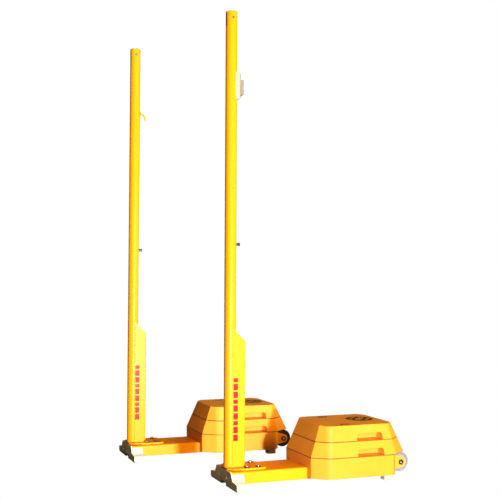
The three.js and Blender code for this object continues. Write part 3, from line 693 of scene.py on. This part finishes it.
def build_plate(s):
    front, rear = PLATE_CORNER
    half = [(PLATE_X[0], PLATE_HALF - front), (PLATE_X[0] + front, PLATE_HALF),
            (PLATE_X[1] - rear, PLATE_HALF), (PLATE_X[1], PLATE_HALF - rear)]
    outline = half + [(x, -y) for x, y in reversed(half)]
    plate = prism(fillet(outline, 3, 4), "xy", *PLATE_Z)
    step = block((-60, FOOT_X[1] + GAP), (-120, 120), (70, PLATE_STEP_Z))
    holes = [prism(circle(BOLT_HOLE_R, 24, place), "xy", 60, 120) for place in BOLT_PLACES]
    s.piece("plate", carve(plate, [step, *holes]), PAINT, "set", "yellow_paint", ["base_plate"], bevel=0.8,
            steps=3)
    for i, (x, y) in enumerate(BOLT_PLACES, 1):
        profile = bolt_profile(PLATE_Z[1] + GAP, BEAM_Z[1] - BEAM_SHEET - GAP, 9.6)
        s.piece(f"plate_bolt_{i}", turned(profile, "z", (x, y, 0), 40), CHROME, "set", "chrome",
                [f"base_bolt_{i}"])
        # a near-black ring round the dome: painted dark reflection of the bolt head
        low = PLATE_Z[1] + 0.1
        ring = fillet([(8.6, low + 2.8), (12.3, low + 2.8), (13.6, low), (15.5, low), (15.5, low + 1.6),
                       (12.6, low + 4.6), (8.6, low + 5.2)], 0.5, 3)
        s.piece(f"plate_bolt_ring_{i}", turned(ring, "z", (x, y, 0), 40, looped=True), SHADE_BLACK, "set",
                "dark_steel")


def build_beam(s):
    y, (z0, z1), t = BEAM_HALF, BEAM_Z, BEAM_SHEET
    outer = fillet([(-y, z0), (-y, z1), (y, z1), (y, z0)], [0, 11, 11, 0], 10)
    inner = fillet([(y - t, z0), (y - t, z1 - t), (-y + t, z1 - t), (-y + t, z0)], [0, 6, 6, 0], 10)
    holes = [prism(circle(BOLT_HOLE_R, 24, place), "xy", 60, 120) for place in BOLT_PLACES]
    shell = carve(prism(outer + inner, "yz", *BEAM_X), holes)
    s.piece("beam_channel", shell, PAINT, "set", "yellow_paint", ["beam"], bevel=0.8)
    end = fillet([(-y + t + 1, z0), (-y + t + 1, z1 - t - 1), (y - t - 1, z1 - t - 1), (y - t - 1, z0)],
                 [0, 5, 5, 0], 6)
    holes = [prism(circle(BOLT_HOLE_R, 24, (side * FOOT_BOLT[0], FOOT_BOLT[1])), "yz", -60, 0)
             for side in (-1, 1)]
    plug = carve(prism(end, "yz", BEAM_X[0], BEAM_X[0] + 8), holes)
    s.piece("beam_end", plug, PAINT, "set", "yellow_paint", bevel=0.8)


def foot_outline():
    low = PAD_TOP + GAP
    notch = PAD_Y[0] + 4
    half = [(notch, low + 10), (notch, low), (FOOT_HALF, low), (FOOT_HALF, 37.5), (FOOT_CENTRE + 22, 43),
            (FOOT_CENTRE + 14, 56), (FOOT_CENTRE, 76), (FOOT_CENTRE - 8, FOOT_TOP)]
    radii = [3, 1.5, 3, 14, 16, 30, 30, 11]
    half = fillet(half, radii, 7, False)[8:]
    half = [(notch, low + 10)] + half
    return half + [(-y, z) for y, z in reversed(half)]


def build_foot(s):
    body = prism(foot_outline(), "yz", *FOOT_X)
    inner = FOOT_X[0] + 8
    y = BEAM_HALF + GAP
    rooms = [block((inner, 40), (-y, y), (-5, BEAM_Z[1] + GAP))]
    for side in (-1, 1):
        rooms.append(block((inner, 40), sided(side, (FOOT_CENTRE + 8, FOOT_HALF - 10)), (16, 32)))
        rooms.append(prism(circle(BOLT_HOLE_R, 24, (side * FOOT_BOLT[0], FOOT_BOLT[1])), "yz", -60, 0))
    s.piece("foot_casting", carve(body, rooms), METAL, "set", "zinc", ["front_foot"], bevel=1.6, steps=3)
    for side, hand in HANDS:
        pad = fillet([(FOOT_X[0] + 2, 0), (FOOT_X[1] - 2, 0), (FOOT_X[1] - 2, PAD_TOP),
                      (FOOT_X[0] + 2, PAD_TOP)], 1.2, 3)
        s.piece(f"foot_rubber_{hand}", prism(pad, "xz", *sided(side, PAD_Y)), PAD_RUBBER, "set", "rubber",
                [f"foot_pad_{hand}"], bevel=1.2)
        seat = FOOT_X[0] - GAP
        head = [(0, seat - 7.9), (3, seat - 7.6), (6.2, seat - 6.8), (8.8, seat - 5.2), (10.4, seat - 3),
                (10.9, seat - 1), (10.9, seat), (6, seat), (6, seat + 17), (9.6, seat + 17), (9.6, seat + 27),
                (0, seat + 27)]
        centre = (0, side * FOOT_BOLT[0], FOOT_BOLT[1])
        s.piece(f"foot_screw_{hand}", turned(head, "x", centre, 40), CHROME, "set", "chrome",
                [f"foot_bolt_{hand}"])


def rounded_block(x, y, z, radius):
    outline = fillet([(x[0], y[0]), (x[1], y[0]), (x[1], y[1]), (x[0], y[1])], radius, 5)
    return prism(outline, "xy", z[0], z[1])


def grip_tool(side, z, inset):
    """The room of a hand recess: round upper corners, and a rounded back."""
    edge = LOW_PLAN["b"] + 20
    back = LOW_PLAN["b"] - GRIP_DEPTH - inset
    x0, x1 = GRIP_X
    rings = []
    for depth, shrink in ((edge, 0), (back + 14, 0), (back + 8, 1.8), (back + 3, 5.5), (back, 13)):
        x2 = x0 + shrink * 0.6 + (LOW_PLAN["b"] - depth) * 0.25
        x3 = x1 - shrink * 0.6
        top = z + GRIP_HEIGHT - shrink
        face = fillet([(x2, z - 3), (x3, z - 3), (x3, top), (x2, top)], [0, 0, 17, 17], 7)
        rings.append([(x, side * depth, h) for x, h in face])
    return loft(rings)


def tongue_tools(z0, z1, clear=1.6):
    half, thick = (size + clear for size in TONGUE_HALF)
    return [rounded_block((TONGUE_X - half, TONGUE_X + half),
                          (side * TONGUE_Y - thick, side * TONGUE_Y + thick), (z0, z1), 3.5)
            for side in (-1, 1)]


def weight_shape(z0, z1, t0, t1):
    low, high = mixed_plan(t0), mixed_plan(t1)
    body = loft([[(x, y, z) for x, y in plan(p)] for p, z in ((low, z0), (high, z1))])
    hollow = loft([[(x, y, z) for x, y in plan(p, WALL)] for p, z in ((low, z0 - 1), (high, z1 - WALL))])
    inset = LOW_PLAN["b"] - (low["b"] + high["b"]) / 2
    linings = []
    grips = []
    for side in (-1, 1):
        x = (GRIP_X[0] - 9, GRIP_X[1] + 9)
        y = sided(side, (LOW_PLAN["b"] - GRIP_DEPTH - inset - 9, LOW_PLAN["b"] + 30))
        linings.append(block(x, y, (z0 - 3, z0 + GRIP_HEIGHT + 9)))
        grips.append(grip_tool(side, z0, inset))
    hollow = carve(hollow, linings)
    return carve(body, [hollow, *grips, *tongue_tools(z0 - 5, z1 + 5)])


def build_weights(s):
    s.piece("lower_casting", weight_shape(BASE_Z[1] + GAP, SEAM_Z, 0, 0.5), CAST, "lower_weight",
            "yellow_cast", ["weight_lower"], bevel=1.8, steps=3)
    s.piece("upper_casting", weight_shape(SEAM_Z + GAP, WEIGHT_TOP, 0.5, 1), CAST, "upper_weight",
            "yellow_cast", ["weight_upper"], bevel=2.4, steps=3)


def ear(side_y):
    x, _, z = WHEEL
    root = BASE_PLAN["rear"] - 40
    arc = [(x + EAR_R * math.cos(a), z + EAR_R * math.sin(a)) for a in
           [math.radians(-81 + 162 * k / 24) for k in range(25)]]
    outline = [(root, BASE_Z[1] - 12), (root, z - 40), (BASE_PLAN["rear"], z - 36), *arc,
               (BASE_PLAN["rear"], BASE_Z[1] - 12)]
    return prism(outline, "xz", side_y - EAR_HALF, side_y + EAR_HALF)


def build_base(s):
    outline = plan(BASE_PLAN)
    body = loft([[(x, y, z) for x, y in outline] for z in BASE_Z])
    hollow = loft([[(x, y, z) for x, y in plan(BASE_PLAN, WALL)] for z in (BASE_Z[0] - 5, BASE_Z[1] - WALL)])
    y = BEAM_HALF + GAP
    door_outline = fillet([(-y, 10), (-y, BEAM_Z[1] + GAP), (y, BEAM_Z[1] + GAP), (y, 10)], [0, 11, 11, 0], 8)
    door = prism(door_outline, "yz", BASE_PLAN["front"] - 5, BASE_PLAN["front"] + 60)
    front = WHEEL[0] - WHEEL_R - 8
    linings, rooms, ears, bosses = [], [], [], []
    for side in (-1, 1):
        y = side * WHEEL[1]
        linings.append(block((front - WALL, BASE_PLAN["rear"] - 2), (y - EAR_Y - 4, y + EAR_Y + 4),
                             (BASE_Z[0] - 10, BASE_Z[1] - 2)))
        bosses.append(block((REAR_FOOT_X[0] - 4, REAR_FOOT_X[1] + 4),
                            sided(side, (REAR_FOOT_Y[0] - 4, BASE_PLAN["b"])),
                            (BASE_Z[0] - 10, BASE_Z[0] + 28)))
        room = EAR_Y - EAR_HALF
        rooms.append(rounded_block((front, BASE_PLAN["rear"] + 50), (y - room, y + room),
                                   (BASE_Z[0] - 5, BASE_Z[1] + 5), 6))
        ears += [ear(y - EAR_Y), ear(y + EAR_Y)]
    hollow = carve(hollow, linings + bosses)
    shell = carve(body, [hollow, *rooms])
    shell = carve(shell, ears, "UNION")
    holes = [prism(circle(BOLT_HOLE_R, 24, (WHEEL[0], WHEEL[2])), "xz", -300, 300)]
    shell = carve(shell, [door, *holes, *tongue_tools(BASE_Z[0], BASE_Z[1] + 5)])
    s.piece("base_casting", shell, CAST, "set", "yellow_cast", ["base_box"], bevel=1.6, steps=2)
    for side, hand in HANDS:
        pad = rounded_block(REAR_FOOT_X, sided(side, REAR_FOOT_Y), (0, BASE_Z[0] - GAP), 5)
        s.piece(f"rear_pad_{hand}", pad, FOOT_RUBBER, "set", "foot_rubber", [f"rear_foot_{hand}"], bevel=1.5)
    half, thick = TONGUE_HALF
    out, inn = TONGUE_Y + thick, TONGUE_Y - thick
    top = BASE_Z[1] - WALL - GAP
    low = top - 2 * thick
    outline = fillet([(-out, TONGUE_TOP), (-out, low), (out, low), (out, TONGUE_TOP), (inn, TONGUE_TOP),
                      (inn, top), (-inn, top), (-inn, TONGUE_TOP)], [2, 12, 12, 2, 2, 4, 4, 2], 5)
    # the bar is near black, painted shade for the slot it stands in
    s.piece("tongue_bar", prism(outline, "yz", TONGUE_X - half, TONGUE_X + half), SHADE_DARK_STEEL, "set", "steel",
            ["locating_bar"], bevel=1.2)


def build_wheels(s, look, slot):
    for side, hand in HANDS:
        centre = (WHEEL[0], side * WHEEL[1], WHEEL[2])
        tread = fillet([(WHEEL_R - 9, -14), (WHEEL_R - 3.5, -16), (WHEEL_R, -11), (WHEEL_R, 11),
                        (WHEEL_R - 3.5, 16), (WHEEL_R - 9, 14)], [1, 2, 4, 4, 2, 1], 5)
        web = [(WHEEL_R - 10.5, 12), (WHEEL_R - 13, 9), (24, 7.5), (20, 16), (18, 17), (6.4, 17)]
        web += [(r, -a) for r, a in reversed(web)]
        profile = tread + fillet(web, [1, 2.5, 3, 1.5, 1, 0.6, 0.6, 1, 1.5, 3, 2.5, 1], 4)
        s.piece(f"wheel_body_{hand}", turned(profile, "y", centre, 80, looped=True), look,
                f"wheel_{hand}", slot, [f"wheel_{hand}"])
        end = WHEEL_HALF + 3 + 2 * EAR_HALF + GAP
        dome = [(8.0 * math.cos(a), end + 2.6 + 6.6 * math.sin(a)) for a in
                [math.pi / 2 * k / 8 for k in range(9)]]
        dome[-1] = (0, end + 9.2)
        axle = [(0, -end - 8), (9.4, -end - 8), (9.8, -end - 7.4), (9.8, -end), (5.9, -end), (5.9, end),
                (11.3, end), (11.4, end + 1.6), (8.2, end + 2.2), *dome]
        axle = [(r, side * a) for r, a in axle]
        # a near-black ring round the dome: painted dark reflection of the bolt head
        ring = fillet([(8.4, end + 2.4), (11.6, end + 2.4), (11.6, end - 0.2), (15.5, end - 0.2),
                       (15.5, end + 1.6), (12.4, end + 4.4), (8.4, end + 4.8)], 0.5, 3)
        ring = turned([(r, side * a) for r, a in ring], "y", centre, 40, looped=True)
        s.piece(f"wheel_washer_{hand}", ring, SHADE_BLACK, "set", "dark_steel")
        s.piece(f"wheel_bolt_{hand}", turned(axle, "y", centre, 40), CHROME, "set", "chrome",
                [f"wheel_axle_{hand}"])


def build_winch(s):
    body = prism(fillet([(8, BRACKET_Z[0]), (BRACKET_BACK, BRACKET_Z[0]), (BRACKET_BACK, BRACKET_Z[1]),
                         (8, BRACKET_Z[1])], [0, 7, 7, 0], 6), "xz", -SADDLE_HALF, SADDLE_HALF)
    tools = [
        prism(circle(POST_R + GAP, 96), "xy", 2000, 2300),
        rounded_block((0, 60), (-21, 21), (HOUSING_Z[0] + 4, HOUSING_Z[1] - 4), 1),
        block((0, 60), (-8, 8), (HOUSING_Z[1] - 10, BRACKET_Z[1] + 5)),
    ]
    s.piece("winch_saddle", carve(body, tools), WHITE_PAINT, "set", "white_paint", ["winch_bracket"],
            bevel=1.6, steps=3)
    front = BRACKET_BACK + GAP
    flange = prism(fillet([(-26, BRACKET_Z[0] + 5), (26, BRACKET_Z[0] + 5), (26, BRACKET_Z[1] - 5),
                           (-26, BRACKET_Z[1] - 5)], 6, 5), "yz", front, front + 5)
    cover = rounded_block((front + 2, HOUSING_BACK), (-24, 24), HOUSING_Z, 3)
    inside = block((front - 5, HOUSING_BACK - 3), (-21, 21), (HOUSING_Z[0] + 4, HOUSING_Z[1] - 4))
    crank = prism(circle(6.5, 32, (WORM_Y, WINCH_Z - WORM_DROP)), "yz", 40, 80)
    rope = block((front - 5, front + 3), (-8, 8), (HOUSING_Z[1] - 10, BRACKET_Z[1] + 5))
    shell = carve(flange, [cover], "UNION")
    s.piece("winch_cover", carve(shell, [inside, crank, rope]), GREY_PAINT, "set", "grey_steel",
            ["winch_housing"], bevel=1.0, steps=3)
    screws = []
    for y in (-18, 18):
        for z in (BRACKET_Z[0] + 14, BRACKET_Z[1] - 22):
            profile = [(0, front + 4.8), (4.6, front + 4.8), (4.6, front + 6.4), (3.2, front + 7.6),
                       (0, front + 7.9)]
            screws.append(turned(profile, "x", (0, y, z), 20))
    s.piece("winch_screws", merged(*screws), DARK_STEEL, "set", "dark_steel")
    drum = [(0, -20), (4, -20), (4, -9), (12.5, -9), (12.5, -7), (7, -7)]
    drum += [(r, -a) for r, a in reversed(drum)]
    drum = fillet(drum, [0, 0.5, 0, 0.6, 0.6, 1.5, 1.5, 0.6, 0.6, 0, 0.5, 0], 3)
    s.piece("drum", turned(drum, "y", (DRUM_X, 0, WINCH_Z), 40), STEEL, "winch_drum", "steel",
            ["winch_drum"])
    teeth = []
    for i in range(20):
        for share, radius in ((-0.3, 10.4), (-0.13, 12.2), (0.13, 12.2), (0.3, 10.4)):
            turn = (i + share) * math.pi / 10
            teeth.append((DRUM_X + radius * math.cos(turn), WINCH_Z + radius * math.sin(turn)))
    gear = carve(prism(teeth, "xz", WORM_Y - 2.5, WORM_Y + 2.5),
                 [prism(circle(4.2, 24, (DRUM_X, WINCH_Z)), "xz", -30, 30)])
    s.piece("worm_gear", gear, STEEL, "winch_drum", "steel", ["worm_wheel"], bevel=0.25)
    z = WINCH_Z - WORM_DROP
    core = [(0, -11.5), (2.4, -11.5), (2.4, -7.5)]
    core += [(3.5 + 0.7 * math.cos(k * math.pi / 2.5), 14 * k / 35 - 6.5) for k in range(36)]
    core += [(2.4, 8.5), (2.4, 10.5), (5.2, 10.5), (5.5, 10.9), (5.5, 19), (5, 19.5), (0, 19.5)]
    core = [(radius, DRUM_X + along) for radius, along in core]
    socket = prism(circle(3.5, 6, (WORM_Y, z)), "yz", DRUM_X + 13.5, DRUM_X + 25)
    s.piece("worm", carve(turned(core, "x", (0, WORM_Y, z), 32), [socket]), DARK_STEEL, "worm",
            "dark_steel", ["worm_shaft"])


def build_hook(s):
    skin = POST_R + 0.4
    keys = [(skin - 1, 0), (skin + 8, 0.4), (skin + 17, -2.6), (skin + 25, -9), (skin + 30.5, -18),
            (skin + 33.4, -29), (skin + 34.6, -38), (skin + 35.2, -41)]
    line = []
    for (x0, z0), (x1, z1) in zip(keys, keys[1:]):
        line += [(x0 + (x1 - x0) * k / 3, 0, HOOK_Z + z0 + (z1 - z0) * k / 3) for k in range(3)]
    rod = tube_along(line, 4.6, 20)
    ring = turned([(0, skin - 0.8), (11, skin - 0.8), (11, skin + 3.6), (9.6, skin + 5), (5.4, skin + 5.4),
                   (4.8, skin + 7), (0, skin + 7)], "x", (0, 0, HOOK_Z), 40)
    s.piece("hook", merged(rod, ring), PAINT, "set", "yellow_paint", ["rope_hook"], sharp=50)


def annulus(outer, inner):
    (low, high), profile = MARK_Z, []
    for radius, z in ((inner, low), (outer, low), (outer, high), (inner, high)):
        profile.append((radius, z))
    return turned(profile, "z", sides=72, looped=True)


def build_slot_shade_frames(s):
    """Thin near-black frames round the tongue slots in the top weight: painted shade that widens the dark
    slot mouths.
    """
    frames = []
    for side in (-1, 1):
        y = side * TONGUE_Y
        frame = rounded_block((TONGUE_X - 27, TONGUE_X + 27), (y - 15, y + 15),
                              (WEIGHT_TOP + 0.05, WEIGHT_TOP + 0.7), 6)
        frames.append(carve(frame, [rounded_block((TONGUE_X - 21, TONGUE_X + 21), (y - 5, y + 5),
                                                  (WEIGHT_TOP - 5, WEIGHT_TOP + 5), 3)]))
    s.piece("slot_shade_frames", merged(*frames), SHADE_BLACK, "upper_weight", "rubber", sharp=60)


def build_marks(s):
    """Plain red dashes down the post's side plate, and a plain ball roundel on the top weight."""
    marks = []
    z = 566
    for i in range(9):
        height = 34 if i % 3 else 22
        top = z
        z -= height + 8
        outline = fillet([(9, top - height), (36, top - height), (36, top), (9, top)], 3, 3)
        marks.append(prism(outline, "xz", -POST_R - 0.45, -POST_R - 0.05))
    s.piece("side_dashes", merged(*marks), RED_INK, "set", "yellow_paint", sharp=60)
    x, y = ROUNDEL
    rings = [annulus(76, 61), annulus(40, 24)]
    for turn in range(6):
        a = math.radians(60 * turn + 20)
        along, across = Vector((math.cos(a), math.sin(a))), Vector((-math.sin(a), math.cos(a)))
        corners = [along * r + across * w for r, w in ((39, -7), (62, -12), (62, 12), (39, 7))]
        rings.append(prism([tuple(c) for c in corners], "xy", *MARK_Z))
    roundel = merged(*rings)
    bmesh.ops.translate(roundel, vec=(x, y, 0), verts=roundel.verts)
    s.piece("top_roundel", roundel, DARK_INK, "upper_weight", "yellow_cast", sharp=60)


for set_name in ("near", "far"):
    post_set = PostSet(set_name)
    build_post(post_set)
    build_channel(post_set)
    build_plate(post_set)
    build_beam(post_set)
    build_foot(post_set)
    build_base(post_set)
    build_weights(post_set)
    build_slot_shade_frames(post_set)
    build_marks(post_set)
    if set_name == "near":
        build_wheels(post_set, PALE_WHEEL, "wheel_grey")
        build_winch(post_set)
    else:
        build_wheels(post_set, BLACK_WHEEL, "wheel_black")
        build_hook(post_set)


# ---- floor, light and camera -----------------------------------------------------------
def only_seen(obj):
    """The camera sees it, but it sends the object no light and casts no shadow."""
    obj.visible_diffuse = obj.visible_glossy = obj.visible_transmission = False
    obj.visible_shadow = False


def plain(name, colour, glow, diffuse=0.8):
    material = bpy.data.materials.new(name)
    material.use_nodes = True
    shader = material.node_tree.nodes["Principled BSDF"]
    shader.inputs["Base Color"].default_value = (diffuse, diffuse, diffuse, 1)
    shader.inputs["Roughness"].default_value = 0.9
    shader.inputs["Specular IOR Level"].default_value = 0.0
    shader.inputs["Emission Color"].default_value = (*colour, 1)
    shader.inputs["Emission Strength"].default_value = glow
    return material


def sheet(name, size, z, material):
    data = bpy.data.meshes.new(name)
    data.from_pydata([(-size, -size, z), (size, -size, z), (size, size, z), (-size, size, z)], [],
                     [(0, 1, 2, 3)])
    data.materials.append(material)
    obj = bpy.data.objects.new(name, data)
    bpy.context.scene.collection.objects.link(obj)
    return obj


def build_stage():
    only_seen(sheet("floor", 60, -0.0005, plain("pale_floor", (1, 1, 1), 1.0, 0.0)))
    bounce = sheet("floor_bounce", 60, -0.001, plain("floor_bounce", (1, 1, 1), 0.0, 0.3))
    bounce.visible_camera = False
    bm = bmesh.new()
    bmesh.ops.create_icosphere(bm, subdivisions=4, radius=50)
    data = bpy.data.meshes.new("backdrop")
    bm.to_mesh(data)
    bm.free()
    data.materials.append(plain("pale_backdrop", (1, 1, 1), 1.0, 0.0))
    dome = bpy.data.objects.new("backdrop", data)
    bpy.context.scene.collection.objects.link(dome)
    only_seen(dome)


def lamp(name, place, target, size, watts, colour=(1, 1, 1)):
    data = bpy.data.lights.new(name, "AREA")
    data.shape = "RECTANGLE"
    data.size, data.size_y = size
    data.energy = watts
    data.color = colour
    obj = bpy.data.objects.new(name, data)
    bpy.context.scene.collection.objects.link(obj)
    obj.location = place
    obj.rotation_mode = "QUATERNION"
    obj.rotation_quaternion = (Vector(target) - Vector(place)).to_track_quat("-Z", "Y")
    obj.visible_camera = False
    return obj


KEY_STRENGTH = 17.5


def build_light():
    world = bpy.data.worlds.new("studio")
    world.use_nodes = True
    sky = world.node_tree.nodes["Background"]
    sky.inputs["Color"].default_value = (1.0, 0.62, 0.3, 1)
    sky.inputs["Strength"].default_value = 0.06
    bpy.context.scene.world = world
    key = lamp("key", (-0.25, -3.2, 0.46), (-0.1, 0, 1.5), (0.16, 0.16), 1.0)
    key.data.use_nodes = True
    glow = key.data.node_tree.nodes["Emission"]
    even = key.data.node_tree.nodes.new("ShaderNodeLightFalloff")
    even.inputs["Strength"].default_value = KEY_STRENGTH
    key.data.node_tree.links.new(even.outputs["Constant"], glow.inputs["Strength"])
    front = lamp("front", (1.2, -6.5, 2.2), (0.1, 0, 0.7), (3.6, 2.4), 600, (1, 0.58, 0.11))
    back = lamp("back", (1.5, 6.5, 1.3), (0, 0, 0.9), (4.0, 2.4), 330, (1, 0.86, 0.62))
    right = lamp("right", (6.5, 1.5, 1.3), (0, 0, 0.9), (3.0, 2.4), 180, (1, 0.95, 0.8))
    for soft in (front, back, right):
        soft.visible_glossy = False
    lamp("top", (0, 0, 6.5), (0, 0, 0), (3.5, 3.5), 45, (1, 0.86, 0.66))


def build_camera():
    data = bpy.data.cameras.new("camera")
    camera = bpy.data.objects.new("camera", data)
    bpy.context.scene.collection.objects.link(camera)
    yaw, tilt, roll = (math.radians(a) for a in (21.026, 1.9285, 0.241))
    forward = Vector((math.sin(yaw) * math.cos(tilt), math.cos(yaw) * math.cos(tilt), math.sin(tilt)))
    near = PostSet("near").origin
    camera.location = Vector((-1.5617, -4.4267, 1.0395)) + near
    turn = forward.to_track_quat("-Z", "Y").to_matrix() @ Matrix.Rotation(roll, 3, "Z")
    camera.rotation_mode = "QUATERNION"
    camera.rotation_quaternion = turn.to_quaternion()
    data.sensor_width = 36
    data.lens = 62.665
    data.shift_x = -0.00919
    data.shift_y = 0.0207
    data.clip_end = 200
    bpy.context.scene.camera = camera


build_stage()
build_light()
build_camera()
bpy.context.scene.view_settings.view_transform = "Standard"
